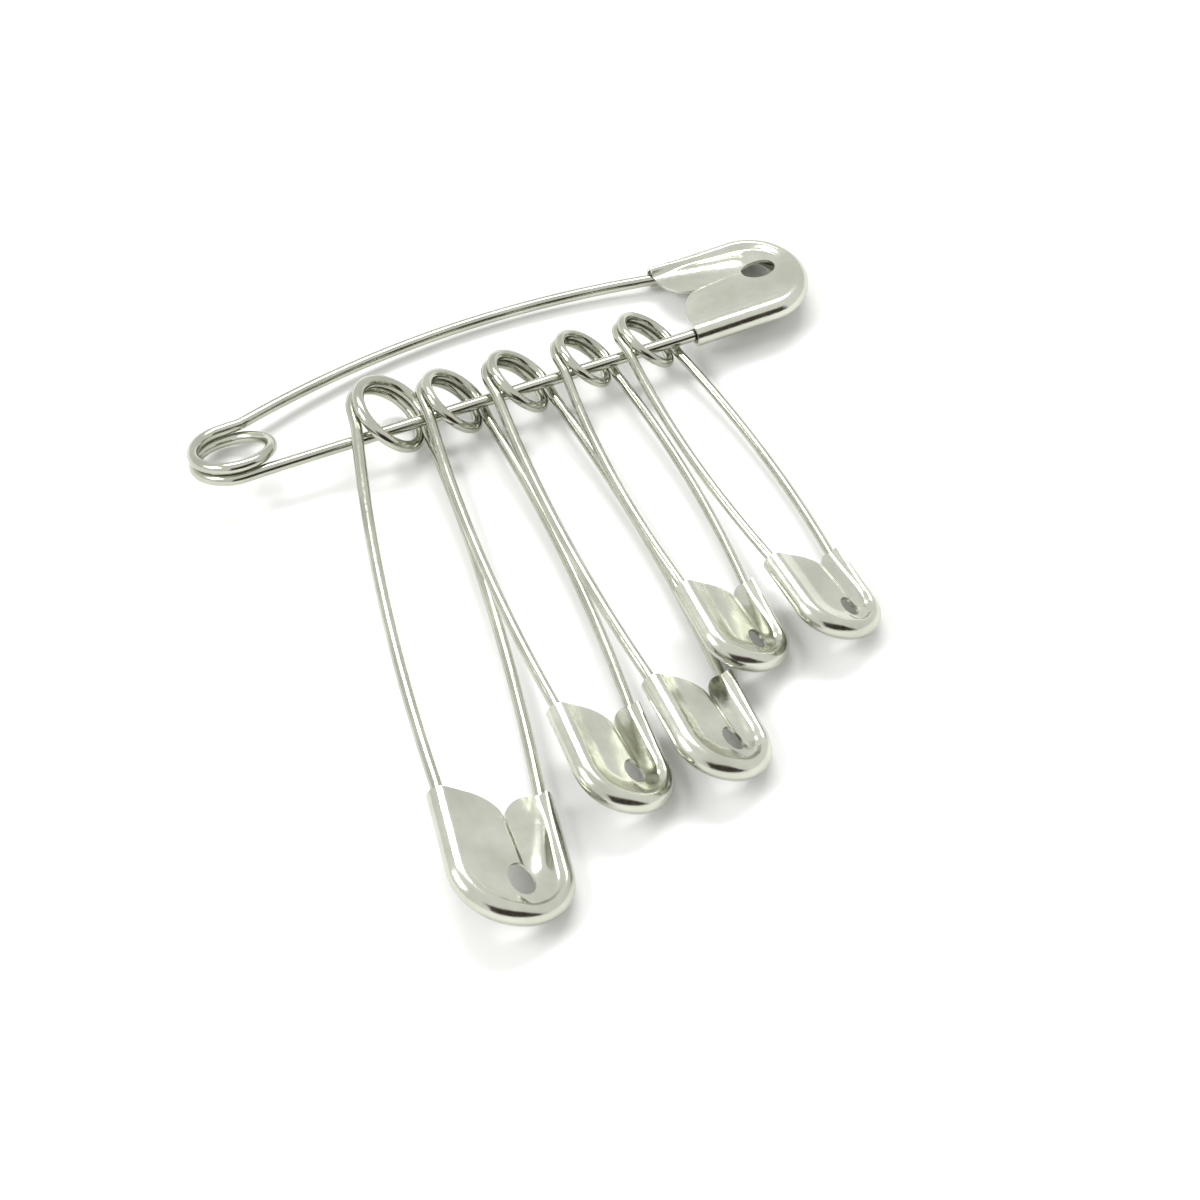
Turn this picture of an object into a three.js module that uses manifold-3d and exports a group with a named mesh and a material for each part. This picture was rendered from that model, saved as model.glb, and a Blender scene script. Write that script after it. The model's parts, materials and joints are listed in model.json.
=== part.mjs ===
// A bunch of six closed safety pins, in millimetres, +Z up. A large pin lies on its side of the table and
// its fixed arm runs through the coil eyes of five more pins, which fan out from it and lie half on each other.
// Each pin is one bent wire and one folded sheet cap. The wire is three meshes, fixed arm, coil and needle,
// because the needle springs open against the rest.
import * as THREE from "three";
import { mergeVertices } from "three/addons/utils/BufferGeometryUtils.js";
import Module from "manifold-3d";

const wasm = await Module();
wasm.setup();

// Driving sizes of the three sizes of pin.
// length runs from the outside of the coil to the end of the cap, coil is the outside diameter, and armSpread
// is the distance between the two arms' centres at the mouth of the cap.
const LARGE = {
  length: 54,
  wire: 1.0,
  coil: 7.3,
  armSpread: 8.4,
  capLength: 11.7,
  capEnd: 4.6,
  notchDepth: 2.8,
  notchOffset: 0.4,
  pointLength: 10,
  tipInset: 4.1,
  eyeInset: 3.7,
  eyeOffset: 0.5,
  eyeLength: 2.6,
  eyeWidth: 1.7,
};
const MEDIUM = {
  length: 46,
  wire: 0.9,
  coil: 6.3,
  armSpread: 6.6,
  capLength: 10,
  capEnd: 4.0,
  notchDepth: 2.7,
  notchOffset: 0.7,
  pointLength: 8.5,
  tipInset: 3.6,
  eyeInset: 3.5,
  eyeOffset: 0.6,
  eyeLength: 2.1,
  eyeWidth: 1.4,
};
const SMALL = {
  length: 37,
  wire: 0.8,
  coil: 5.8,
  armSpread: 6.0,
  capLength: 8.6,
  capEnd: 3.4,
  notchDepth: 2.1,
  notchOffset: 0.8,
  pointLength: 7,
  tipInset: 3.1,
  eyeInset: 2.7,
  eyeOffset: 0.6,
  eyeLength: 1.7,
  eyeWidth: 1.1,
};

// Sheet metal and clearances that all the pins share.
const SHEET = 0.3; // thickness of the cap's sheet
const CAP_GAP = 0.2; // between a wire and the inside of its cap
const TURN_GAP = 0.46; // between the two turns of a coil
const BUTT_GAP = 0.3; // where two lengths of one wire face each other
const THREAD_GAP = 0.25; // between the large pin's arm and the wire of a coil strung on it
const STACK_GAP = 0.5; // between two strung coils pushed together
const END_GAP = 0.5; // between the strung coils and the large pin's own coil and cap
const RIM_ROUND = 0.5; // rounding of the cap's folded rim
const FIXED_LIP = 1.1; // how far the back fold reaches past the fixed arm's centre, towards the middle
const NEEDLE_LIP = 0.2; // how far outside the needle's centre the back fold stops, so that the needle can leave
const END_LIP = 1.9; // width of the back fold at the cap's end
const POINT_RADIUS = 0.12;
const CHANNEL_RADIUS = 0.55; // the embossed channel over the needle
const CHANNEL_RISE = 0.15; // how far it stands above the sheet
const OVERRUN = 2; // how far a cutter passes what it cuts

// How the pins lie. Bows are how far an arm bends outwards in the middle of its length.
const LARGE_PIN_LEAN = THREE.MathUtils.degToRad(11);
const LARGE_PIN_BOWS = { needle: 2.5, fixed: 0 };
const STRUNG_BOWS = { needle: 0.9, fixed: 1.0 };

// The strung pins in order from the large pin's coil. spareShare is the share of the large pin's free length that
// lies before a coil, turn is the angle in the table's plane, and seat is where in the eye the arm lies.
const STRUNG_PINS = [
  { size: LARGE, spareShare: 0.443, turn: -101.5, seat: 1.6 },
  { size: MEDIUM, spareShare: 0.068, turn: -94, seat: 0.9 },
  { size: MEDIUM, spareShare: 0.133, turn: -90.5, seat: 0.8 },
  { size: SMALL, spareShare: 0.161, turn: -90.5, seat: 1.0 },
  { size: SMALL, spareShare: 0.151, turn: -86, seat: 0.9 },
];

// The needle leaves its cap by one turn about an axis through its root: in and back past the fold's lip, round
// behind the cap, and out again beside it. After NEEDLE_TURN it lies in the pin's own plane, open by
// NEEDLE_OPENING. The joint goes on from there until the needle is above the table or near the next pin.
const NEEDLE_OPENING = THREE.MathUtils.degToRad(28);
const NEEDLE_TURN = THREE.MathUtils.degToRad(270);

// Counts of flat faces on round shapes.
const WIRE_SIDES = 8;
const TURN_STEPS = 24;
const ARM_STEPS = 12;
const BALL_STEPS = 3;
const CURVE_STEPS = 6;
const RIM_STEPS = 2;

const nickel = (name) =>
  new THREE.MeshStandardMaterial({ name, color: 0xc9cabd, roughness: 0.22, metalness: 1 });
const WIRE_NICKEL = nickel("nickel_plated_wire");
const CAP_NICKEL = nickel("nickel_plated_sheet");

// Sizes that follow from a pin's driving sizes, in the pin's own frame: x runs from the coil's centre to the
// cap, y towards the needle, and z out of the cap's front.
function derive(size) {
  const radius = size.wire / 2;
  const turnRadius = (size.coil - size.wire) / 2;
  const pitch = size.wire + TURN_GAP;
  const end = size.length - size.coil / 2;
  const mouth = end - size.capLength;
  return {
    ...size,
    radius,
    turnRadius,
    pitch,
    end,
    mouth,
    reach: Math.hypot(turnRadius, pitch / 2),
    coilTilt: Math.atan2(pitch / 2, turnRadius),
    armAtMouth: size.armSpread / 2,
    halfWidth: size.armSpread / 2 + radius + CAP_GAP + SHEET,
    halfDepth: radius + CAP_GAP + SHEET,
    roundFrom: end - size.capEnd,
    armFrom: size.wire + BUTT_GAP,
    pivot: size.wire + BUTT_GAP + radius,
    tip: end - size.tipInset,
  };
}

// The distance of an arm's centre from the pin's middle line. The arm leaves the coil straight and then bows.
function armOffset(pin, bow, x) {
  const share = THREE.MathUtils.clamp((x - pin.pivot) / (pin.mouth - pin.pivot), 0, 1);
  const straight = pin.reach + (pin.armAtMouth - pin.reach) * share;
  return straight + 4 * bow * share * (1 - share);
}

// The needle goes on straight inside the cap, in the direction that it had at the mouth.
function needleOffset(pin, bow, x) {
  if (x <= pin.mouth) return armOffset(pin, bow, x);
  const slope = (pin.armAtMouth - pin.reach - 4 * bow) / (pin.mouth - pin.pivot);
  return pin.armAtMouth + slope * (x - pin.mouth);
}

// A closed wire along a list of points, with a radius at each point.
function wireGeometry(points, radii) {
  const positions = [];
  const index = [];
  const tangentAt = (i) => {
    const before = points[Math.max(i - 1, 0)];
    const after = points[Math.min(i + 1, points.length - 1)];
    return after.clone().sub(before).normalize();
  };
  let side = new THREE.Vector3(0, 0, 1);
  points.forEach((point, i) => {
    const tangent = tangentAt(i);
    side = side.clone().addScaledVector(tangent, -side.dot(tangent)).normalize();
    const across = tangent.clone().cross(side);
    for (let k = 0; k < WIRE_SIDES; k++) {
      const angle = (2 * Math.PI * (k + 1 / 2)) / WIRE_SIDES;
      const vertex = point
        .clone()
        .addScaledVector(side, radii[i] * Math.cos(angle))
        .addScaledVector(across, radii[i] * Math.sin(angle));
      positions.push(...vertex.toArray());
    }
  });
  const ring = (i, k) => i * WIRE_SIDES + (k % WIRE_SIDES);
  for (let i = 0; i + 1 < points.length; i++) {
    for (let k = 0; k < WIRE_SIDES; k++) {
      index.push(ring(i, k), ring(i + 1, k + 1), ring(i + 1, k));
      index.push(ring(i, k), ring(i, k + 1), ring(i + 1, k + 1));
    }
  }
  const last = points.length - 1;
  for (let k = 1; k + 1 < WIRE_SIDES; k++) {
    index.push(ring(0, 0), ring(0, k + 1), ring(0, k));
    index.push(ring(last, 0), ring(last, k), ring(last, k + 1));
  }
  const geometry = new THREE.BufferGeometry();
  geometry.setAttribute("position", new THREE.Float32BufferAttribute(positions, 3));
  geometry.setIndex(index);
  geometry.computeVertexNormals();
  return geometry;
}

// The coil's centre line: one and a half turns that lie on each other. The wire comes from the fixed arm below,
// climbs to the upper turn on the cap's side and leaves as the needle. The turns are tilted about x, so that
// both straight ends lie in the plane of the arms.
function coilPoints(pin) {
  const steps = (TURN_STEPS * 3) / 2;
  const tilt = new THREE.Matrix4().makeRotationX(-pin.coilTilt);
  const points = [];
  for (let i = 0; i <= steps; i++) {
    const turned = (3 * Math.PI * i) / steps;
    const climb = THREE.MathUtils.smoothstep(turned, Math.PI, 2 * Math.PI) - 1 / 2;
    const angle = -Math.PI / 2 - turned;
    const x = pin.turnRadius * Math.cos(angle);
    const y = pin.turnRadius * Math.sin(angle);
    points.push(new THREE.Vector3(x, y, pin.pitch * climb).applyMatrix4(tilt));
  }
  points.unshift(new THREE.Vector3(pin.wire, -pin.reach, 0));
  points.push(new THREE.Vector3(pin.wire, pin.reach, 0));
  return points;
}

// The least clear distance between two stretches of a tube that are more than a third of a turn apart.
function leastGap(pin, points) {
  const apart = TURN_STEPS / 3;
  let least = Infinity;
  for (let i = 0; i < points.length; i++) {
    for (let j = i + apart; j + 1 < points.length; j++) {
      const stretch = new THREE.Line3(points[j], points[j + 1]);
      const nearest = stretch.closestPointToPoint(points[i], true, new THREE.Vector3());
      least = Math.min(least, nearest.distanceTo(points[i]) - pin.wire);
    }
  }
  return least;
}

// The fixed arm runs to the cap, along its side and round its end in a hook that the cap is crimped on.
function fixedArmPoints(pin, bow) {
  const points = [new THREE.Vector3(pin.armFrom, -pin.reach, 0)];
  for (let i = 0; i <= ARM_STEPS; i++) {
    const x = THREE.MathUtils.lerp(pin.pivot, pin.mouth, i / ARM_STEPS);
    points.push(new THREE.Vector3(x, -armOffset(pin, bow, x), 0));
  }
  const inset = SHEET + CAP_GAP + pin.radius;
  for (let i = 0; i <= CURVE_STEPS; i++) {
    const angle = (-Math.PI / 2) * (1 - i / CURVE_STEPS);
    const x = pin.roundFrom + (pin.capEnd - inset) * Math.cos(angle);
    points.push(new THREE.Vector3(x, pin.armAtMouth * Math.sin(angle), 0));
  }
  return points;
}

// The needle: a round root, a bowed arm and a long ground point.
function needleGeometry(pin, bow) {
  const points = [];
  const radii = [];
  for (let i = 0; i < BALL_STEPS; i++) {
    const angle = ((Math.PI / 2) * (i + 1 / 2)) / BALL_STEPS;
    points.push(new THREE.Vector3(pin.pivot - pin.radius * Math.cos(angle), pin.reach, 0));
    radii.push(pin.radius * Math.sin(angle));
  }
  const pointFrom = pin.tip - pin.pointLength;
  const taperAt = (x) => Math.max(0, (x - pointFrom) / pin.pointLength);
  const steps = ARM_STEPS + CURVE_STEPS;
  for (let i = 0; i <= steps; i++) {
    const x = THREE.MathUtils.lerp(pin.pivot, pin.tip, i / steps);
    points.push(new THREE.Vector3(x, needleOffset(pin, bow, x), 0));
    radii.push(THREE.MathUtils.lerp(pin.radius, POINT_RADIUS, taperAt(x) ** 2));
  }
  return wireGeometry(points, radii);
}

// The cap's outline, drawn in by an inset, from a start before the mouth round the end and back.
function capOutline(pin, inset, start) {
  const half = pin.halfWidth - inset;
  const shape = new THREE.Shape();
  shape.moveTo(start, -half);
  shape.lineTo(pin.roundFrom, -half);
  shape.absellipse(pin.roundFrom, 0, pin.capEnd - inset, half, -Math.PI / 2, Math.PI / 2, false);
  shape.lineTo(start, half);
  return shape;
}

// A closed slab of a shape between two heights.
function slab(shape, bottom, top) {
  const settings = { depth: top - bottom, bevelEnabled: false, curveSegments: 2 * CURVE_STEPS };
  return new THREE.ExtrudeGeometry(shape, settings).translate(0, 0, bottom);
}

function toSolid(geometry) {
  const bare = geometry.clone();
  bare.deleteAttribute("normal");
  bare.deleteAttribute("uv");
  const merged = mergeVertices(bare, 1e-5);
  const vertProperties = new Float32Array(merged.attributes.position.array);
  const triVerts = new Uint32Array(merged.index.array);
  return new wasm.Manifold(new wasm.Mesh({ numProp: 3, vertProperties, triVerts }));
}

function toGeometry(solid) {
  const mesh = solid.getMesh();
  const geometry = new THREE.BufferGeometry();
  geometry.setAttribute("position", new THREE.BufferAttribute(mesh.vertProperties, 3));
  geometry.setIndex(new THREE.BufferAttribute(mesh.triVerts, 1));
  geometry.computeVertexNormals();
  return geometry;
}

// What is cut away in front of the mouth, so that two rounded leaves meet in a notch.
function mouthCutter(pin) {
  const before = pin.mouth - 2 * OVERRUN;
  const aside = pin.halfWidth + OVERRUN;
  const leafFrom = pin.armAtMouth - pin.radius;
  const notch = pin.mouth + pin.notchDepth;
  const reach = [leafFrom + pin.notchOffset, leafFrom - pin.notchOffset];
  const shape = new THREE.Shape();
  shape.moveTo(before, -aside);
  shape.lineTo(pin.mouth, -aside);
  shape.lineTo(pin.mouth, -leafFrom);
  shape.absellipse(notch, -leafFrom, pin.notchDepth, reach[0], Math.PI, Math.PI / 2, true);
  shape.absellipse(notch, leafFrom, pin.notchDepth, reach[1], (3 * Math.PI) / 2, Math.PI, true);
  shape.lineTo(pin.mouth, aside);
  shape.lineTo(before, aside);
  return slab(shape, -pin.halfDepth - OVERRUN, pin.halfDepth + OVERRUN);
}

// The open back between the two side folds and the end fold.
function backCutter(pin) {
  const fixedLip = -(pin.armAtMouth - FIXED_LIP);
  const needleLip = pin.armAtMouth + NEEDLE_LIP;
  const middle = (fixedLip + needleLip) / 2;
  const half = (needleLip - fixedLip) / 2;
  const round = pin.capEnd - END_LIP;
  const shape = new THREE.Shape();
  shape.moveTo(pin.mouth - OVERRUN, fixedLip);
  shape.lineTo(pin.roundFrom, fixedLip);
  shape.absellipse(pin.roundFrom, middle, round, half, -Math.PI / 2, Math.PI / 2, false);
  shape.lineTo(pin.mouth - OVERRUN, needleLip);
  return slab(shape, -pin.halfDepth - OVERRUN, 0);
}

// The folded cap: a shell with a rolled rim, open at the mouth, with its leaves, open back, eye and channel.
function capGeometry(pin, bow) {
  const start = pin.mouth - OVERRUN;
  const settings = {
    depth: 2 * (pin.halfDepth - RIM_ROUND),
    bevelThickness: RIM_ROUND,
    bevelSize: RIM_ROUND,
    bevelSegments: RIM_STEPS,
    curveSegments: 2 * CURVE_STEPS,
  };
  const block = new THREE.ExtrudeGeometry(capOutline(pin, RIM_ROUND, start), settings);
  block.translate(0, 0, RIM_ROUND - pin.halfDepth);
  const inside = pin.halfDepth - SHEET;
  const hollow = slab(capOutline(pin, SHEET, start - OVERRUN), -inside, inside);
  const eye = new THREE.Shape();
  const eyeX = pin.end - pin.eyeInset;
  eye.absellipse(eyeX, pin.eyeOffset, pin.eyeLength / 2, pin.eyeWidth / 2, 0, 2 * Math.PI, false);
  const channel = [];
  const radii = [];
  for (let i = 0; i <= CURVE_STEPS; i++) {
    const x = pin.mouth - OVERRUN + ((pin.tip - pin.mouth + OVERRUN) * i) / CURVE_STEPS;
    const fade = Math.sqrt(1 - (i / (CURVE_STEPS + 1)) ** 2);
    const radius = CHANNEL_RADIUS * fade;
    const z = pin.halfDepth + CHANNEL_RISE * fade - radius;
    channel.push(new THREE.Vector3(x, needleOffset(pin, bow, x), z));
    radii.push(radius);
  }
  return toGeometry(
    toSolid(block)
      .add(toSolid(wireGeometry(channel, radii)))
      .subtract(toSolid(hollow))
      .subtract(toSolid(mouthCutter(pin)))
      .subtract(toSolid(backCutter(pin)))
      .subtract(toSolid(slab(eye, 0, pin.halfDepth + OVERRUN))),
  );
}

// The axis that the needle turns about. It leans from the pin's length by the same angle as the closed and the
// open needle lie from it, and behind the plane of the pin.
function needleAxis() {
  const half = NEEDLE_OPENING / 2;
  const cone = Math.asin(Math.sin(half) / Math.abs(Math.sin(NEEDLE_TURN / 2)));
  const behind = Math.acos(Math.cos(cone) / Math.cos(half));
  return new THREE.Vector3(
    Math.cos(half) * Math.cos(behind),
    Math.sin(half) * Math.cos(behind),
    -Math.sin(behind),
  );
}

// One whole pin in its own frame. Its userData says where its needle is hinged.
function makePin(name, size, bows) {
  const pin = derive(size);
  const group = new THREE.Group();
  const add = (part, geometry, material) => {
    const mesh = new THREE.Mesh(geometry, material);
    mesh.name = `${name}_${part}`;
    group.add(mesh);
  };
  const coil = coilPoints(pin);
  const fixed = fixedArmPoints(pin, bows.fixed);
  const even = (points) => points.map(() => pin.radius);
  add("fixed_arm", wireGeometry(fixed, even(fixed)), WIRE_NICKEL);
  add("coil", wireGeometry(coil, even(coil)), WIRE_NICKEL);
  add("needle", needleGeometry(pin, bows.needle), WIRE_NICKEL);
  add("cap", capGeometry(pin, bows.needle), CAP_NICKEL);
  group.userData = {
    needleHinge: { point: new THREE.Vector3(pin.pivot, pin.reach, 0), axis: needleAxis() },
    leastCoilGap: leastGap(pin, coil),
  };
  console.log(`${name}: least gap of the coil to itself ${group.userData.leastCoilGap.toFixed(3)} mm`);
  return group;
}

// How far below a pin's middle line its coil and its cap reach, when it leans by an angle about its length.
function coilDrop(pin, lean) {
  const tilt = lean + pin.coilTilt;
  return pin.turnRadius * Math.sin(tilt) + (pin.pitch / 2) * Math.cos(tilt) + pin.radius;
}
function capDrop(pin, lean) {
  return pin.halfWidth * Math.sin(lean) + pin.halfDepth * Math.cos(lean);
}

// The large pin leans on its needle side, and its coil and its cap both touch the table.
function placeLargePin(group, pin) {
  const coil = coilDrop(pin, LARGE_PIN_LEAN);
  const pitch = Math.asin((coil - capDrop(pin, LARGE_PIN_LEAN)) / pin.roundFrom);
  group.rotation.set(-LARGE_PIN_LEAN, pitch, 0, "ZYX");
  group.position.set(0, 0, coil);
  group.updateMatrixWorld(true);
}

const largePin = derive(LARGE);

// How far the middle of a strung coil's wire keeps from the middle of the large pin's arm.
function threadClear(pin) {
  return largePin.radius + pin.radius + THREAD_GAP;
}

// A strung pin: the arm passes through the middle of its eye, under its fixed side and over its needle side,
// a thread gap clear of both, and the cap comes down to the table.
function placeStrungPin(group, pin, place, armPoint, armWay) {
  const lean = Math.asin(threadClear(pin) / pin.reach);
  const turn = THREE.MathUtils.degToRad(place.turn);
  const basis = new THREE.Matrix4();
  let pitch = 0;
  for (const last of [false, true]) {
    const level = Math.cos(pitch);
    const x = new THREE.Vector3(level * Math.cos(turn), level * Math.sin(turn), -Math.sin(pitch));
    const along = armWay.clone().addScaledVector(x, -armWay.dot(x)).normalize();
    const up = x.clone().cross(along);
    const y = along.clone().multiplyScalar(Math.cos(lean)).addScaledVector(up, -Math.sin(lean));
    basis.makeBasis(x, y, x.clone().cross(y));
    if (!last) {
      const drop = capDrop(pin, Math.asin(-y.z));
      pitch = Math.asin((armPoint.z - drop) / (pin.roundFrom - place.seat));
    }
  }
  const seat = new THREE.Vector3(place.seat, 0, 0).applyMatrix4(basis);
  basis.setPosition(armPoint.clone().sub(seat));
  basis.decompose(group.position, group.quaternion, group.scale);
}

// The length of the large pin's arm that a coil takes up when the next one lies against it.
function stackLength(pin) {
  const lean = Math.asin(threadClear(pin) / pin.reach);
  return (pin.pitch + pin.wire + STACK_GAP) / Math.sin(lean + pin.coilTilt);
}

// Where the coils sit along the large pin. They have to fit between its coil and its cap, and the length that is
// left over is shared out among the gaps before them.
function strungPlaces(pins) {
  const last = pins.length - 1;
  const steps = pins.map((pin, i) => (i > 0 ? (stackLength(pins[i - 1]) + stackLength(pin)) / 2 : 0));
  const first = (LARGE.coil + pins[0].coil) / 2 + END_GAP;
  const end = largePin.mouth - pins[last].coil / 2 - END_GAP;
  const spare = end - first - steps.reduce((sum, step) => sum + step, 0);
  let x = first;
  return pins.map((pin, i) => {
    x += steps[i] + spare * STRUNG_PINS[i].spareShare;
    return x;
  });
}

const bunch = new THREE.Group();
const largeGroup = makePin("large_pin", LARGE, LARGE_PIN_BOWS);
placeLargePin(largeGroup, largePin);
bunch.add(largeGroup);

// The fixed arm is straight, so its middle line is the one that the strung pins hang and turn on.
const onArm = (x) => {
  const point = new THREE.Vector3(x, -armOffset(largePin, LARGE_PIN_BOWS.fixed, x), 0);
  return point.applyMatrix4(largeGroup.matrixWorld);
};
const armStart = onArm(largePin.pivot);
const armWay = onArm(largePin.mouth).sub(armStart).normalize();

const strungPins = STRUNG_PINS.map((place) => derive(place.size));
const strungAt = strungPlaces(strungPins);
STRUNG_PINS.forEach((place, i) => {
  const group = makePin(`strung_pin_${i + 1}`, place.size, STRUNG_BOWS);
  placeStrungPin(group, strungPins[i], place, onArm(strungAt[i]), armWay);
  bunch.add(group);
  console.log(`strung_pin_${i + 1}: ${strungAt[i].toFixed(2)} mm along the large pin`);
});

// The origin is below the middle of the bunch, on the table.
const box = new THREE.Box3().setFromObject(bunch, true);
const middle = box.getCenter(new THREE.Vector3());
bunch.position.set(-middle.x, -middle.y, -box.min.z);
bunch.userData = { swing: { point: armStart.clone().add(bunch.position), axis: armWay } };

export default bunch;
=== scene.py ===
import json
import math

import bpy
from mathutils import Euler, Matrix, Vector


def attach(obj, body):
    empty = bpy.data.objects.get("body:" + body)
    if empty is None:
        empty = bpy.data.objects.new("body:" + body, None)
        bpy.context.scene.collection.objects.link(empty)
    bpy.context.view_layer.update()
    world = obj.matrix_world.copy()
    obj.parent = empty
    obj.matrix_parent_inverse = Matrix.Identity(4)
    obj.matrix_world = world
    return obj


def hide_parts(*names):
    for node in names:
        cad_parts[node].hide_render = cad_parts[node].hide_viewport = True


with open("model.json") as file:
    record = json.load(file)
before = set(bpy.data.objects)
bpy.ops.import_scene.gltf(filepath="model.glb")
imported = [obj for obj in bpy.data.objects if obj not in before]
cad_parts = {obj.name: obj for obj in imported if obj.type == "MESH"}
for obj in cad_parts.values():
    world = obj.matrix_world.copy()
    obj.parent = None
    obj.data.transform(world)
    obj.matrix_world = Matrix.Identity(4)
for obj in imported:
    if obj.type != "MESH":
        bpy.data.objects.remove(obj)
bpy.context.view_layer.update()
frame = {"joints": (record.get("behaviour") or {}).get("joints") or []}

# The plating.
# Bright nickel over spring steel: a warm, faintly green grey mirror with fine rubbing marks from the
# tumbling drum and soft clouds where the plating is thicker. The caps are stamped sheet, paler and a touch
# softer in gloss.
WIRE_TINTS = ((0.42, 0.43, 0.36), (0.52, 0.53, 0.45))
CAP_TINTS = ((0.50, 0.51, 0.435), (0.60, 0.61, 0.53))
RUBBED_HAZE = 0.09
RIPPLE_HEIGHT = 0.00006


def nickel_plating(name, tints, gloss, waviness):
    """Nickel between a duller and a brighter tint, hazed from gloss upwards, with a faint ripple."""
    plating = bpy.data.materials.new(name)
    plating.use_nodes = True
    nodes, links = plating.node_tree.nodes, plating.node_tree.links
    shader = nodes["Principled BSDF"]
    shader.inputs["Metallic"].default_value = 1.0
    place = nodes.new("ShaderNodeTexCoord")

    clouds = nodes.new("ShaderNodeTexNoise")
    clouds.inputs["Scale"].default_value = 260.0
    clouds.inputs["Detail"].default_value = 3.0
    links.new(place.outputs["Object"], clouds.inputs["Vector"])
    tint = nodes.new("ShaderNodeValToRGB")
    for element, position, colour in zip(tint.color_ramp.elements, (0.35, 0.65), tints):
        element.position = position
        element.color = (*colour, 1.0)
    links.new(clouds.outputs["Fac"], tint.inputs["Fac"])
    links.new(tint.outputs["Color"], shader.inputs["Base Color"])

    rubbing = nodes.new("ShaderNodeTexNoise")
    rubbing.inputs["Scale"].default_value = 2600.0
    rubbing.inputs["Detail"].default_value = 4.0
    rubbing.inputs["Roughness"].default_value = 0.65
    links.new(place.outputs["Object"], rubbing.inputs["Vector"])
    haze = nodes.new("ShaderNodeMapRange")
    haze.inputs["From Min"].default_value = 0.3
    haze.inputs["From Max"].default_value = 0.7
    haze.inputs["To Min"].default_value = gloss
    haze.inputs["To Max"].default_value = gloss + RUBBED_HAZE
    links.new(rubbing.outputs["Fac"], haze.inputs["Value"])
    links.new(haze.outputs["Result"], shader.inputs["Roughness"])

    ripple = nodes.new("ShaderNodeTexNoise")
    ripple.inputs["Scale"].default_value = 700.0
    ripple.inputs["Detail"].default_value = 2.0
    links.new(place.outputs["Object"], ripple.inputs["Vector"])
    relief = nodes.new("ShaderNodeBump")
    relief.inputs["Strength"].default_value = waviness
    relief.inputs["Distance"].default_value = RIPPLE_HEIGHT
    links.new(ripple.outputs["Fac"], relief.inputs["Height"])
    links.new(relief.outputs["Normal"], shader.inputs["Normal"])
    return plating


wire_plating = nickel_plating("nickel_plated_wire", WIRE_TINTS, 0.10, 0.25)
cap_plating = nickel_plating("nickel_plated_sheet", CAP_TINTS, 0.15, 0.4)

# The large pin's wire.
# One length of 1 mm spring wire. It is hooked into the cap, runs straight as the fixed arm, is wound one
# and a half turns round a mandrel, and comes back bowed as the needle, which is ground to a long point.
LARGE = {"length": 54.0, "wire": 1.0, "coil": 7.3, "spread": 8.4, "cap": 11.7, "end": 4.6, "notch": 2.8,
         "notch_aside": 0.4, "point": 10.0, "tip": 4.1, "eye": (3.7, 0.5, 1.45, 1.15)}
LARGE_BOW = {"needle": 2.5, "fixed": 0.0}
LARGE_LEAN = math.radians(11)
MILLIMETRE = 0.001
WIRE_EASE = 0.01
TURN_PITCH = 1.03
SOLID_TURN_GAP = 0.46
NEEDLE_ROOT_GAP = 0.3
CAP_ROOM = 0.5
HOOK_STEPS, ARM_STEPS, COIL_STEPS, NEEDLE_STEPS = 23, 41, 96, 60
ROUNDED_RINGS, FULL_ROUND = 6, 6.3
GROUND_AWAY = 0.93
WIRE_SEAM = 0.0005


def pin_sizes(pin):
    """The sizes of a pin that follow from its own: where the cap starts and how far out the wires lie."""
    pin = dict(pin)
    pin["thick"] = pin["wire"] / 2 - WIRE_EASE
    pin["far"] = pin["length"] - pin["coil"] / 2
    pin["mouth"] = pin["far"] - pin["cap"]
    pin["apart"] = pin["spread"] / 2
    pin["winding"] = (pin["coil"] - pin["wire"]) / 2
    pin["rise"] = pin["wire"] * TURN_PITCH
    pin["reach"] = math.hypot(pin["winding"], pin["rise"] / 2)
    pin["root"] = pin["wire"] + NEEDLE_ROOT_GAP + pin["thick"]
    pin["half"] = pin["apart"] + pin["thick"] + CAP_ROOM
    pin["rim"] = pin["thick"] + CAP_ROOM
    pin["round_from"] = pin["far"] - pin["end"]
    return pin


def arm_out(pin, bow, x):
    """How far an arm lies from the pin's middle line at x, between the coil and the cap."""
    share = min(max((x - pin["root"]) / (pin["mouth"] - pin["root"]), 0.0), 1.0)
    return pin["reach"] + (pin["apart"] - pin["reach"]) * share + 4 * bow * share * (1 - share)


def needle_out(pin, bow, x):
    """The same for the needle, which runs on straight inside the cap."""
    if x <= pin["mouth"]:
        return arm_out(pin, bow, x)
    slope = (pin["apart"] - pin["reach"] - 4 * bow) / (pin["mouth"] - pin["root"])
    return pin["apart"] + slope * (x - pin["mouth"])


def rounded_end(thick):
    """The rings that round off a wire's end: how far along each lies and its share of the thickness."""
    angles = [math.pi / 2 * ring / FULL_ROUND for ring in range(ROUNDED_RINGS + 1)]
    return [(thick * math.sin(angle), math.cos(angle)) for angle in angles]


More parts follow.
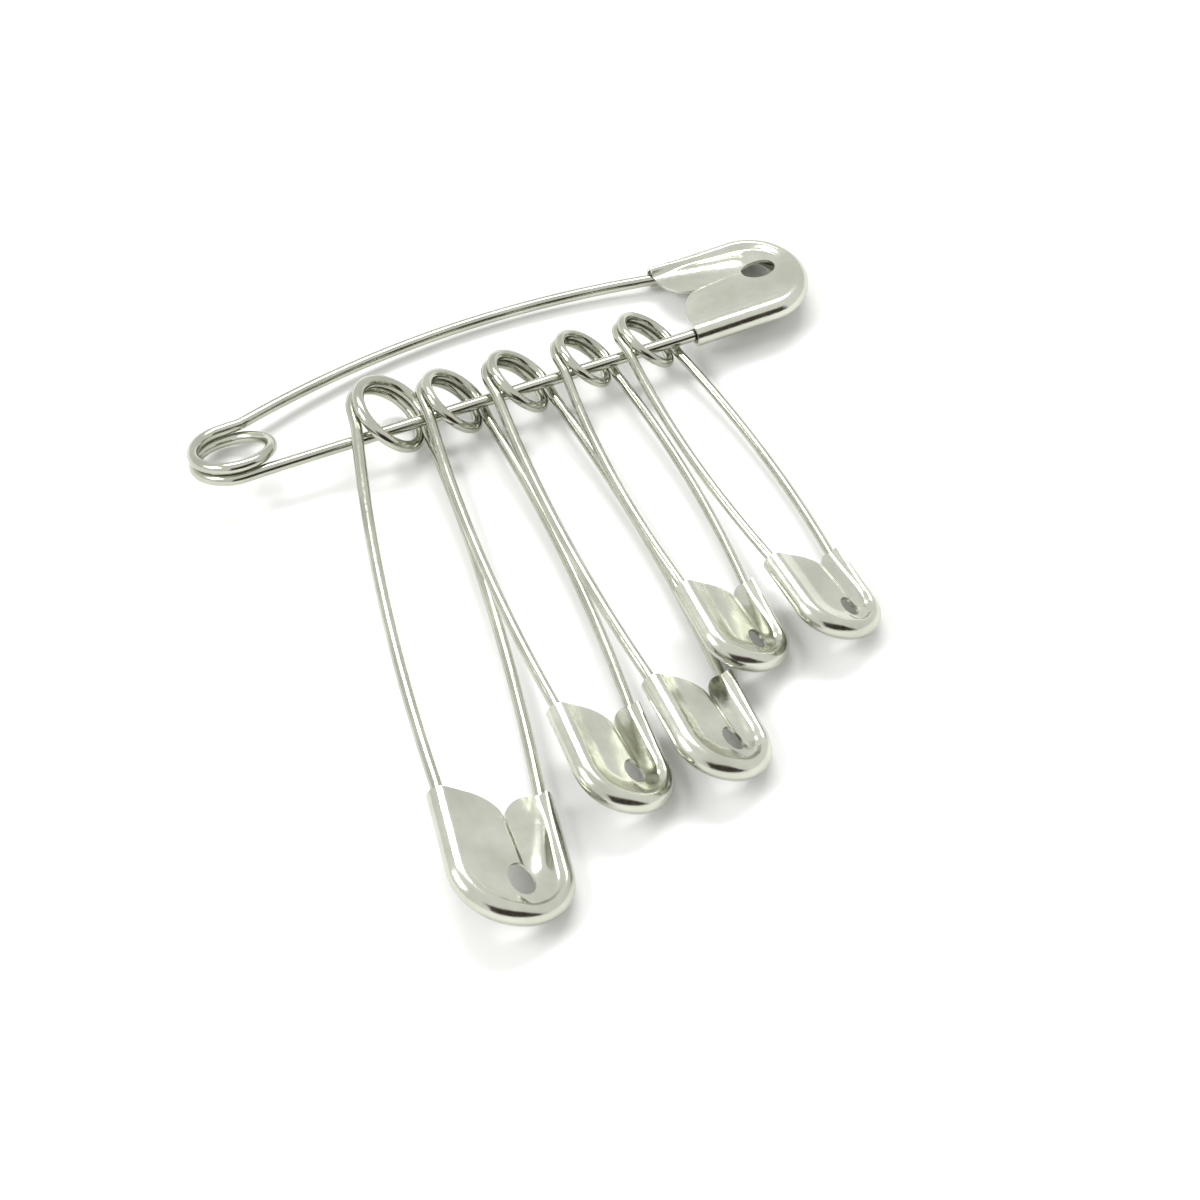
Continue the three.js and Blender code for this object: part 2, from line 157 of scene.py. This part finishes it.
def drawn_wire(name, line, thick):
    """A round wire along a line of (x, y, z, share of the thickness), with closed ends, as one mesh."""
    bpy.ops.object.select_all(action="DESELECT")
    path = bpy.data.curves.new(name, "CURVE")
    path.dimensions = "3D"
    path.bevel_depth = thick
    path.bevel_resolution = 6
    path.use_fill_caps = True
    spline = path.splines.new("POLY")
    spline.points.add(len(line) - 1)
    for point, (x, y, z, share) in zip(spline.points, line):
        point.co = (x, y, z, 1.0)
        point.radius = share
    wire = bpy.data.objects.new(name, path)
    bpy.context.collection.objects.link(wire)
    wire.select_set(True)
    bpy.context.view_layer.objects.active = wire
    bpy.ops.object.convert(target="MESH")
    bpy.ops.object.mode_set(mode="EDIT")
    bpy.ops.mesh.select_all(action="SELECT")
    bpy.ops.mesh.remove_doubles(threshold=WIRE_SEAM)
    bpy.ops.mesh.normals_make_consistent(inside=False)
    bpy.ops.object.mode_set(mode="OBJECT")
    bpy.ops.object.shade_smooth()
    return wire


def fixed_wire_line(pin, bow):
    """From the hook inside the cap, down the fixed arm and round the coil to the needle's root."""
    line = []
    inset = CAP_ROOM + pin["thick"]
    for i in range(HOOK_STEPS + 1):
        angle = -math.pi / 2 * i / HOOK_STEPS
        x = pin["round_from"] + (pin["end"] - inset) * math.cos(angle)
        line.append((x, pin["apart"] * math.sin(angle), 0.0, 1.0))
    for i in range(1, ARM_STEPS):
        x = pin["mouth"] * (1 - i / ARM_STEPS)
        line.append((x, -arm_out(pin, bow, x), 0.0, 1.0))
    # the coil's first and last half turns are flat, and the one between them climbs
    winding = pin["winding"]
    tilt = Matrix.Rotation(-math.atan2(pin["rise"] / 2, winding), 3, "X")
    for i in range(COIL_STEPS + 1):
        turned = 3 * math.pi * i / COIL_STEPS
        climb = min(max(turned / math.pi - 1, 0.0), 1.0)
        climb = climb * climb * (3 - 2 * climb) - 0.5
        angle = -math.pi / 2 - turned
        at = tilt @ Vector((winding * math.cos(angle), winding * math.sin(angle), pin["rise"] * climb))
        line.append((at.x, at.y, at.z, 1.0))
    line.append((pin["root"] * 0.5, pin["reach"], 0.0, 1.0))
    for along, share in rounded_end(pin["thick"]):
        line.append((pin["root"] + along, pin["reach"], 0.0, share))
    return line


def needle_line(pin, bow):
    """From a round root in the coil's end, along the bowed arm to the ground point."""
    line = []
    for along, share in reversed(rounded_end(pin["thick"])[1:]):
        line.append((pin["root"] - along, pin["reach"], 0.0, share))
    tip = pin["far"] - pin["tip"]
    for i in range(NEEDLE_STEPS + 1):
        x = pin["root"] + (tip - pin["root"]) * i / NEEDLE_STEPS
        ground = max(0.0, (x - tip + pin["point"]) / pin["point"])
        line.append((x, needle_out(pin, bow, x), 0.0, 1.0 - GROUND_AWAY * ground ** 2))
    return line


def solid_sizes(pin):
    """The sizes of the pin's CAD solids, whose wire isn't eased and whose turns are wound further apart."""
    radius = pin["wire"] / 2
    climb = radius + SOLID_TURN_GAP / 2
    return {"radius": radius, "climb": climb, "tilt": math.atan2(climb, pin["winding"]),
            "reach": math.hypot(pin["winding"], climb), "root": pin["wire"] + NEEDLE_ROOT_GAP + radius,
            "half": pin["apart"] + radius + CAP_ROOM, "rim": radius + CAP_ROOM}


def coil_drop(pin, lean):
    """How far below its middle line the coil of a pin reaches, when the pin leans about its length."""
    solid = solid_sizes(pin)
    tilt = lean + solid["tilt"]
    return pin["winding"] * math.sin(tilt) + solid["climb"] * math.cos(tilt) + solid["radius"]


def cap_drop(pin, lean):
    """The same for its cap."""
    solid = solid_sizes(pin)
    return solid["half"] * math.sin(lean) + solid["rim"] * math.cos(lean)


def hinge(name):
    """A hinge of the frame: a point on it in millimetres, and the way that it runs."""
    joint = next(joint for joint in frame["joints"] if joint["name"] == name)
    return Vector(joint["pos_m"]) / MILLIMETRE, Vector(joint["axis"])


def lay_on_table(pin):
    """The place of the large pin, which leans on its needle side and rests on its coil and its cap."""
    solid = solid_sizes(pin)
    dip = math.asin((coil_drop(pin, LARGE_LEAN) - cap_drop(pin, LARGE_LEAN)) / pin["round_from"])
    turned = Euler((-LARGE_LEAN, dip, 0)).to_matrix()
    root, _ = hinge("large_pin_needle_open")
    at = root - turned @ Vector((solid["root"], solid["reach"], 0))
    return Matrix.Translation(at) @ turned.to_4x4()


def lay_down(piece, place, body, plating, slot, *nodes):
    """Puts a piece modelled in millimetres in its place in metres, and ties it to the CAD."""
    piece.data.transform(Matrix.Scale(MILLIMETRE, 4) @ place)
    piece.data.materials.clear()
    piece.data.materials.append(plating)
    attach(piece, body)
    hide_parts(*nodes)


large = pin_sizes(LARGE)
large_place = lay_on_table(large)
wire = drawn_wire("large_pin_wire", fixed_wire_line(large, LARGE_BOW["fixed"]), large["thick"])
lay_down(wire, large_place, "large_pin", wire_plating, "wire", "large_pin_fixed_arm", "large_pin_coil")
needle = drawn_wire("large_pin_needle_arm", needle_line(large, LARGE_BOW["needle"]), large["thick"])
lay_down(needle, large_place, "large_needle", wire_plating, "wire", "large_pin_needle")

# The large pin's cap.
# Thin sheet steel folded round both wires into a rolled rim, open behind between its two side folds. The
# front has two leaves that meet in a notch: a broad one over the fixed arm and a narrower one, pressed a
# little deeper, with an embossed channel over the needle and a pierced eye beside the channel's end.
SHEET_THICK = 0.26
SHEET_SEAM, NEAR, NUDGE = 0.002, 0.001, 0.01
SPARE = 1.0
RIM_SIDES, END_TURN_STEPS, BACK_STEPS = 48, 40, 4
FRONT_STEP, SIDE_STEP, BACK_STEP = 0.16, 0.3, 0.4
# each step in from the rim: how far across and how far down
RIM_STEPS = [(0.12, -0.004), (0.13, -0.012), (0.13, -0.018), (0.13, -0.012), (0.12, -0.004)]
# how deep or high the die presses each form
DISH, CROWN, DEEPER_LEAF, EYE_HOLLOW, CHANNEL = 0.30, 0.08, 0.16, 0.10, 0.22
# where forms begin and end, in from the edge, as shares of the rim's radius
FRONT_ABOVE = 0.6
FACE_FROM, FACE_TO, CROWN_FROM, CROWN_TO = 1.0, 1.5, 1.2, 3.2
DISH_TO, DISH_STEEPER = 2.9, 1.3
# the dish grows steeper between these places across the pin
STEEPER_BETWEEN = (-0.3, 0.8)
# the step between the leaves, and how far from the cap's end it dies out
NOTCH_SLANT, LEAF_STEP, LEAF_END = 0.12, 0.2, 2.0
# the channel: its width as a share of the wire, and its soft ends at the mouth, the point and the edge
CHANNEL_WIDE = 1.35
MOUTH_FADE, POINT_FADE, EDGE_FADE = (-3.0, -1.0), (-0.8, 0.4), (0.2, 0.7)
HOLLOW_LONG, HOLLOW_WIDE = 1.3, 1.6
FIXED_LIP_IN, NEEDLE_LIP_OUT, END_FOLD = 1.1, 0.2, 1.9
BACK_CUT_TOP, EYE_CUT_FROM = -0.05, 0.1
CREASE = math.radians(40)


def smooth_step(low, high, x):
    t = min(max((x - low) / (high - low), 0.0), 1.0)
    return t * t * (3 - 2 * t)


def bell(x, wide):
    return math.exp(-((x / wide) ** 2))


def choose(mesh_object, wanted):
    """Selects the vertices for which wanted is true, and the edges and faces between them."""
    bpy.ops.object.mode_set(mode="OBJECT")
    for vertex in mesh_object.data.vertices:
        vertex.select = bool(wanted(vertex.co))
    for edge in mesh_object.data.edges:
        edge.select = all(mesh_object.data.vertices[v].select for v in edge.vertices)
    for face in mesh_object.data.polygons:
        face.select = all(mesh_object.data.vertices[v].select for v in face.vertices)
    bpy.ops.object.mode_set(mode="EDIT")


def work_on(piece):
    bpy.ops.object.select_all(action="DESELECT")
    piece.select_set(True)
    bpy.context.view_layer.objects.active = piece


def cut_away(piece, cutter, folded=False):
    """Takes a closed cutter out of a piece and throws the cutter away. A folded sheet may touch itself."""
    work_on(piece)
    cut = piece.modifiers.new("cut", "BOOLEAN")
    cut.operation = "DIFFERENCE"
    cut.solver = "EXACT"
    cut.use_self = folded
    cut.object = cutter
    bpy.ops.object.modifier_apply(modifier=cut.name)
    bpy.data.objects.remove(cutter, do_unlink=True)


def block(low, high):
    bpy.ops.object.select_all(action="DESELECT")
    bpy.ops.mesh.primitive_cube_add(size=1, location=[(a + b) / 2 for a, b in zip(low, high)])
    bpy.ops.transform.resize(value=[b - a for a, b in zip(low, high)])
    bpy.ops.object.transform_apply(location=True, rotation=False, scale=True)
    return bpy.context.object


def round_block(x, y, across_x, across_y, low, high):
    bpy.ops.object.select_all(action="DESELECT")
    bpy.ops.mesh.primitive_cylinder_add(vertices=64, radius=1, depth=high - low,
                                        location=(x, y, (low + high) / 2))
    bpy.ops.transform.resize(value=(across_x, across_y, 1))
    bpy.ops.object.transform_apply(location=True, rotation=False, scale=True)
    return bpy.context.object


def folded_sheet(name, pin):
    """The cap's outer skin, before its front is pressed: rim, front and back fold, round the end and back."""
    rim, centre = pin["rim"], pin["half"] - pin["rim"]
    # the rolled rim's section on the fixed side
    bpy.ops.object.select_all(action="DESELECT")
    bpy.ops.mesh.primitive_circle_add(vertices=RIM_SIDES, radius=rim, fill_type="NOTHING",
                                      location=(pin["round_from"], -centre, 0), rotation=(0, math.pi / 2, 0))
    bpy.ops.object.transform_apply(location=True, rotation=True, scale=True)
    cap = bpy.context.object
    cap.name = name
    choose(cap, lambda v: v.y > -centre + NEAR)
    bpy.ops.mesh.delete(type="VERT")
    # from the top of the rim in to the middle, a little lower than the rim
    choose(cap, lambda v: v.z > rim - NEAR)
    left = centre - sum(across for across, down in RIM_STEPS)
    flat = max(6, round(left / FRONT_STEP))
    for across, down in RIM_STEPS + [(left / flat, 0.0)] * flat:
        bpy.ops.mesh.extrude_region_move(TRANSFORM_OT_translate={"value": (0, across, down)})
    # from the bottom of the rim in to the lip of the back fold
    choose(cap, lambda v: v.z < -rim + NEAR)
    for _ in range(BACK_STEPS):
        bpy.ops.mesh.extrude_region_move(TRANSFORM_OT_translate={"value": (0, BACK_STEP, 0)})
    # round the end
    bpy.ops.mesh.select_all(action="SELECT")
    bpy.ops.mesh.spin(steps=END_TURN_STEPS, angle=-math.pi, center=(pin["round_from"], 0, 0), axis=(0, 0, 1))
    bpy.ops.mesh.select_all(action="SELECT")
    bpy.ops.mesh.remove_doubles(threshold=SHEET_SEAM)
    # and back along both sides, a little past the mouth
    choose(cap, lambda v: abs(v.x - pin["round_from"]) < NEAR)
    straight = pin["round_from"] - pin["mouth"] + SPARE
    runs = round(straight / SIDE_STEP)
    for _ in range(runs):
        bpy.ops.mesh.extrude_region_move(TRANSFORM_OT_translate={"value": (-straight / runs, 0, 0)})
    bpy.ops.mesh.select_all(action="SELECT")
    bpy.ops.mesh.remove_doubles(threshold=SHEET_SEAM)
    bpy.ops.mesh.normals_make_consistent(inside=False)
    bpy.ops.object.mode_set(mode="OBJECT")
    middle = Vector((pin["round_from"], 0, 0))
    if sum(face.normal.dot(face.center - middle) * face.area for face in cap.data.polygons) < 0:
        cap.data.flip_normals()
    return cap


def press_front(cap, pin, bow):
    """Presses the front: dished inside the rim, crowned, one leaf deeper, the needle's channel raised."""
    rim, mouth, far = pin["rim"], pin["mouth"], pin["far"]
    tip = far - pin["tip"]
    eye_back, eye_aside, eye_long, eye_wide = pin["eye"]
    for vertex in cap.data.vertices:
        v = vertex.co
        if v.x > pin["round_from"]:
            v.x = pin["round_from"] + (v.x - pin["round_from"]) * pin["end"] / pin["half"]
        if v.z < rim * FRONT_ABOVE:
            continue
        beyond = max(v.x - pin["round_from"], 0.0)
        inside = pin["half"] - math.hypot(beyond * pin["half"] / pin["end"], v.y)
        face = smooth_step(rim * FACE_FROM, rim * FACE_TO, inside)
        dished_to = DISH_TO - DISH_STEEPER * smooth_step(*STEEPER_BETWEEN, v.y)
        dish = DISH * smooth_step(rim * FACE_FROM, rim * dished_to, inside)
        crown = CROWN * smooth_step(rim * CROWN_FROM, rim * CROWN_TO, inside)
        line = pin["notch_aside"] + NOTCH_SLANT * (v.x - mouth - pin["notch"])
        deeper = smooth_step(line - LEAF_STEP, line + LEAF_STEP, v.y)
        deeper *= 1 - smooth_step(tip, far - LEAF_END, v.x)
        along = smooth_step(*MOUTH_FADE, v.x - mouth) * (1 - smooth_step(*POINT_FADE, v.x - tip))
        ridge = along * bell(v.y - needle_out(pin, bow, v.x), pin["thick"] * CHANNEL_WIDE)
        eye = bell(v.x - far + eye_back, eye_long * HOLLOW_LONG)
        eye *= bell(v.y - eye_aside, eye_wide * HOLLOW_WIDE)
        v.z += crown - dish - face * (DEEPER_LEAF * deeper + EYE_HOLLOW * eye)
        v.z += CHANNEL * ridge * smooth_step(*EDGE_FADE, inside)


def punch_out(cap, pin):
    """Takes away what the die punches out: past the mouth, the notch, the open back and the eye."""
    mouth, out, up = pin["mouth"], pin["half"] + SPARE, pin["rim"] + SPARE
    notch, leaf = mouth + pin["notch"], pin["apart"] - pin["thick"]
    cut_away(cap, block((mouth - 4 * SPARE, -out, -up), (mouth, out, up)), folded=True)
    between = block((mouth - SPARE, -leaf, -up), (notch, leaf, up))
    for side, reach in ((-1, leaf + pin["notch_aside"]), (1, leaf - pin["notch_aside"])):
        cut_away(between, round_block(notch, side * leaf, pin["notch"], reach, -up - SPARE, up + SPARE))
    cut_away(cap, between)
    fixed_lip, needle_lip = -(pin["apart"] - FIXED_LIP_IN), pin["apart"] + NEEDLE_LIP_OUT
    cut_away(cap, block((mouth - 3 * SPARE, fixed_lip, -up), (pin["round_from"], needle_lip, BACK_CUT_TOP)))
    middle, wide, long = (fixed_lip + needle_lip) / 2, (needle_lip - fixed_lip) / 2, pin["end"] - END_FOLD
    cut_away(cap, round_block(pin["round_from"] - NUDGE, middle, long, wide, -up, BACK_CUT_TOP))
    eye_back, eye_aside, eye_long, eye_wide = pin["eye"]
    cut_away(cap, round_block(pin["far"] - eye_back, eye_aside, eye_long, eye_wide, EYE_CUT_FROM, up + SPARE))


def folded_cap(name, pin, bow):
    cap = folded_sheet(name, pin)
    press_front(cap, pin, bow)
    work_on(cap)
    sheet = cap.modifiers.new("sheet", "SOLIDIFY")
    sheet.thickness = SHEET_THICK
    sheet.offset = -1
    bpy.ops.object.modifier_apply(modifier=sheet.name)
    punch_out(cap, pin)
    work_on(cap)
    bpy.ops.object.shade_smooth_by_angle(angle=CREASE)
    return cap


large_cap = folded_cap("large_pin_folded_cap", large, LARGE_BOW["needle"])
spare_large_cap = large_cap.data.copy()
lay_down(large_cap, large_place, "large_pin", cap_plating, "cap", "large_pin_cap")

# Strung pin 1.
# A second pin of the large size, strung by its eye on the large pin's fixed arm next to the coil. It is made
# as the first is, but both its arms are bowed a little.
STRUNG_BOW = {"needle": 0.9, "fixed": 1.0}
THREAD_GAP = 0.25
# a faceted coil reaches less far down than a round one, and the CAD lets the whole bunch down by as much
LET_DOWN = coil_drop(large, LARGE_LEAN) - large_place.translation.z


def threaded(pin, heading, dip, arm):
    """How a pin is turned that points along a heading, dips towards its cap and has the arm in its eye: the
    arm passes under the coil's fixed side and over its needle side."""
    length = Vector((math.cos(dip) * math.cos(heading), math.cos(dip) * math.sin(heading), -math.sin(dip)))
    along = (arm - length * arm.dot(length)).normalized()
    clear = (large["wire"] + pin["wire"]) / 2 + THREAD_GAP
    lean = math.asin(clear / solid_sizes(pin)["reach"])
    across = along * math.cos(lean) - length.cross(along) * math.sin(lean)
    return Matrix((length, across, length.cross(across))).transposed()


def hang_on_arm(name, pin, heading, seat):
    """The place of a strung pin: the arm lies at the seat in its eye, and its cap comes down to the table."""
    nearest, arm = hinge(name + "_swing")
    level = threaded(pin, heading, 0.0, arm)
    eye = nearest + arm * arm.dot(level.col[0]) * seat
    drop = cap_drop(pin, math.asin(-level.col[1].z))
    dip = math.asin((eye.z + LET_DOWN - drop) / (pin["round_from"] - seat))
    turned = threaded(pin, heading, dip, arm)
    return Matrix.Translation(eye - turned.col[0] * seat) @ turned.to_4x4()


def string_pin(number, pin, cap_mesh, heading, seat):
    """Makes a strung pin's two wires, gives it its cap, and hangs it on the large pin's arm. The heading is
    in degrees on the table, and the seat is how far beyond the coil's middle the arm lies."""
    name = f"strung_pin_{number}"
    place = hang_on_arm(name, pin, math.radians(heading), seat)
    wire = drawn_wire(name + "_wire", fixed_wire_line(pin, STRUNG_BOW["fixed"]), pin["thick"])
    lay_down(wire, place, name, wire_plating, "wire", name + "_fixed_arm", name + "_coil")
    needle = drawn_wire(name + "_needle_arm", needle_line(pin, STRUNG_BOW["needle"]), pin["thick"])
    lay_down(needle, place, f"strung_needle_{number}", wire_plating, "wire", name + "_needle")
    cap = bpy.data.objects.new(name + "_folded_cap", cap_mesh.copy())
    bpy.context.collection.objects.link(cap)
    lay_down(cap, place, name, cap_plating, "cap", name + "_cap")


string_pin(1, large, spare_large_cap, heading=-101.5, seat=1.6)

# Strung pins 2 and 3.
# Two pins of the middle size, of 0.9 mm wire, made as the large ones and strung side by side.
MIDDLE = {"length": 46.0, "wire": 0.9, "coil": 6.3, "spread": 6.6, "cap": 10.0, "end": 4.0, "notch": 2.7,
          "notch_aside": 0.7, "point": 8.5, "tip": 3.6, "eye": (3.5, 0.6, 1.15, 0.85)}
middle_pin = pin_sizes(MIDDLE)
middle_cap = folded_cap("middle_cap_pattern", middle_pin, STRUNG_BOW["needle"])
string_pin(2, middle_pin, middle_cap.data, heading=-94, seat=0.9)
string_pin(3, middle_pin, middle_cap.data, heading=-90.5, seat=0.8)
bpy.data.objects.remove(middle_cap, do_unlink=True)

# Strung pins 4 and 5.
# Two pins of the small size, of 0.8 mm wire, nearest the large pin's cap.
SMALL = {"length": 37.0, "wire": 0.8, "coil": 5.8, "spread": 6.0, "cap": 8.6, "end": 3.4, "notch": 2.1,
         "notch_aside": 0.8, "point": 7.0, "tip": 3.1, "eye": (2.7, 0.6, 0.95, 0.7)}
small_pin = pin_sizes(SMALL)
small_cap = folded_cap("small_cap_pattern", small_pin, STRUNG_BOW["needle"])
string_pin(4, small_pin, small_cap.data, heading=-90.5, seat=1.0)
string_pin(5, small_pin, small_cap.data, heading=-86, seat=0.9)
bpy.data.objects.remove(small_cap, do_unlink=True)

# The table.
# A seamless sheet of white paper under and behind the pins. It takes their soft shadows, and the metal
# mirrors it white. The light that it throws back on other things is that of a greyer sheet.
TABLE_WIDE = 3.0
PAPER_SEEN, PAPER_LIT = (0.93, 0.93, 0.93, 1), (0.46, 0.46, 0.42, 1)


def seen_or_mirrored(tree):
    """One for rays from the camera and for mirrored ones, and nought for the light that lands on things."""
    ray = tree.nodes.new("ShaderNodeLightPath")
    found = ray.outputs["Is Camera Ray"]
    for kind in ("Is Glossy Ray", "Is Transmission Ray"):
        either = tree.nodes.new("ShaderNodeMath")
        either.operation = "MAXIMUM"
        tree.links.new(found, either.inputs[0])
        tree.links.new(ray.outputs[kind], either.inputs[1])
        found = either.outputs["Value"]
    return found


bpy.ops.object.select_all(action="DESELECT")
bpy.ops.mesh.primitive_plane_add(size=TABLE_WIDE, location=(0, 0, 0))
table_top = bpy.context.object
table_top.name = "white_table"
paper = bpy.data.materials.new("white_paper")
paper.use_nodes = True
paper_shader = paper.node_tree.nodes["Principled BSDF"]
sheet_tone = paper.node_tree.nodes.new("ShaderNodeMix")
sheet_tone.data_type = "RGBA"
sheet_tone.inputs["A"].default_value = PAPER_LIT
sheet_tone.inputs["B"].default_value = PAPER_SEEN
paper.node_tree.links.new(seen_or_mirrored(paper.node_tree), sheet_tone.inputs["Factor"])
paper.node_tree.links.new(sheet_tone.outputs["Result"], paper_shader.inputs["Base Color"])
paper_shader.inputs["Roughness"].default_value = 0.9
paper_shader.inputs["Specular IOR Level"].default_value = 0.1
table_top.data.materials.append(paper)

# Light.
# A white room that the camera sees and the metal mirrors, and whose walls light the pins more than its floor
# and ceiling do, two big soft lamps, and two boards out of sight that the metal mirrors as dark streaks.
ROOM_SHADES = ((0.11, 0.15), (0.20, 0.55), (0.33, 0.82), (0.55, 0.92), (0.8, 0.60))
world = bpy.data.worlds.new("white_room")
bpy.context.scene.world = world
world.use_nodes = True
room, room_links = world.node_tree.nodes, world.node_tree.links
back = room["Background"]
direction = room.new("ShaderNodeTexCoord")
height = room.new("ShaderNodeSeparateXYZ")
room_links.new(direction.outputs["Generated"], height.inputs["Vector"])
shade = room.new("ShaderNodeValToRGB")
shade.color_ramp.elements[0].position = 0.0
shade.color_ramp.elements[0].color = (0.10, 0.10, 0.09, 1)
shade.color_ramp.elements[1].position = 1.0
shade.color_ramp.elements[1].color = (0.55, 0.55, 0.54, 1)
for z, grey in ROOM_SHADES:
    shade.color_ramp.elements.new(z).color = (grey, grey, grey * 0.97, 1)
room_links.new(height.outputs["Z"], shade.inputs["Fac"])
mix = room.new("ShaderNodeMix")
mix.data_type = "RGBA"
mix.inputs["B"].default_value = (1.0, 1.0, 1.0, 1)
room_links.new(seen_or_mirrored(world.node_tree), mix.inputs["Factor"])
room_links.new(shade.outputs["Color"], mix.inputs["A"])
room_links.new(mix.outputs["Result"], back.inputs["Color"])
back.inputs["Strength"].default_value = 1.0


def soft_lamp(name, place, aim, size, power):
    bpy.ops.object.select_all(action="DESELECT")
    bpy.ops.object.light_add(type="AREA", location=place)
    lamp = bpy.context.object
    lamp.name = name
    lamp.rotation_euler = (Vector(aim) - Vector(place)).to_track_quat("-Z", "Y").to_euler()
    lamp.data.shape = "RECTANGLE"
    lamp.data.size, lamp.data.size_y = size
    lamp.data.energy = power


soft_lamp("window_left", (-0.45, 0.10, 0.40), (0, 0, 0), (0.30, 0.30), 2.2)
soft_lamp("lamp_above", (0.15, 0.36, 0.60), (0, 0, 0), (0.5, 0.18), 3.0)


def dark_board(name, place, size, colour):
    """An upright board in front of the pins, which only mirrors see."""
    bpy.ops.object.select_all(action="DESELECT")
    bpy.ops.mesh.primitive_plane_add(size=1)
    board = bpy.context.object
    board.name = name
    aim = Vector((0, 0, place[2]))
    turn = (aim - Vector(place)).to_track_quat("Z", "Y").to_matrix().to_4x4()
    board.data.transform(Matrix.Translation(place) @ turn @ Matrix.Diagonal((*size, 1, 1)))
    cloth = bpy.data.materials.new(name + "_cloth")
    cloth.use_nodes = True
    cloth.node_tree.nodes["Principled BSDF"].inputs["Base Color"].default_value = colour
    cloth.node_tree.nodes["Principled BSDF"].inputs["Roughness"].default_value = 0.95
    board.data.materials.append(cloth)
    board.visible_camera = False
    board.visible_diffuse = False
    board.visible_shadow = False


dark_board("black_board", (0.05, -0.50, 0.22), (0.75, 0.42), (0.022, 0.015, 0.010, 1))
dark_board("brown_strip", (0.05, -0.48, 0.45), (0.75, 0.07), (0.22, 0.10, 0.045, 1))

# The camera.
# It looks down on the bunch from in front and a little from the left.
AROUND, DOWN, AWAY = math.radians(24.44), math.radians(51.67), 0.3558
AIM = Vector((-0.00209, -0.00151, 0.0))
SENSOR_WIDTH = 36.0
FOCAL_PIXELS, FRAME_PIXELS = 4548, 1200
looks = Vector((math.cos(DOWN) * math.sin(AROUND), math.cos(DOWN) * math.cos(AROUND), -math.sin(DOWN)))
bpy.ops.object.camera_add(location=AIM - looks * AWAY)
camera = bpy.context.object
camera.rotation_euler = looks.to_track_quat("-Z", "Y").to_euler()
camera.data.sensor_width = SENSOR_WIDTH
camera.data.lens = FOCAL_PIXELS / FRAME_PIXELS * SENSOR_WIDTH
camera.data.clip_start = 0.01
bpy.context.scene.camera = camera
bpy.context.scene.view_settings.view_transform = "Standard"
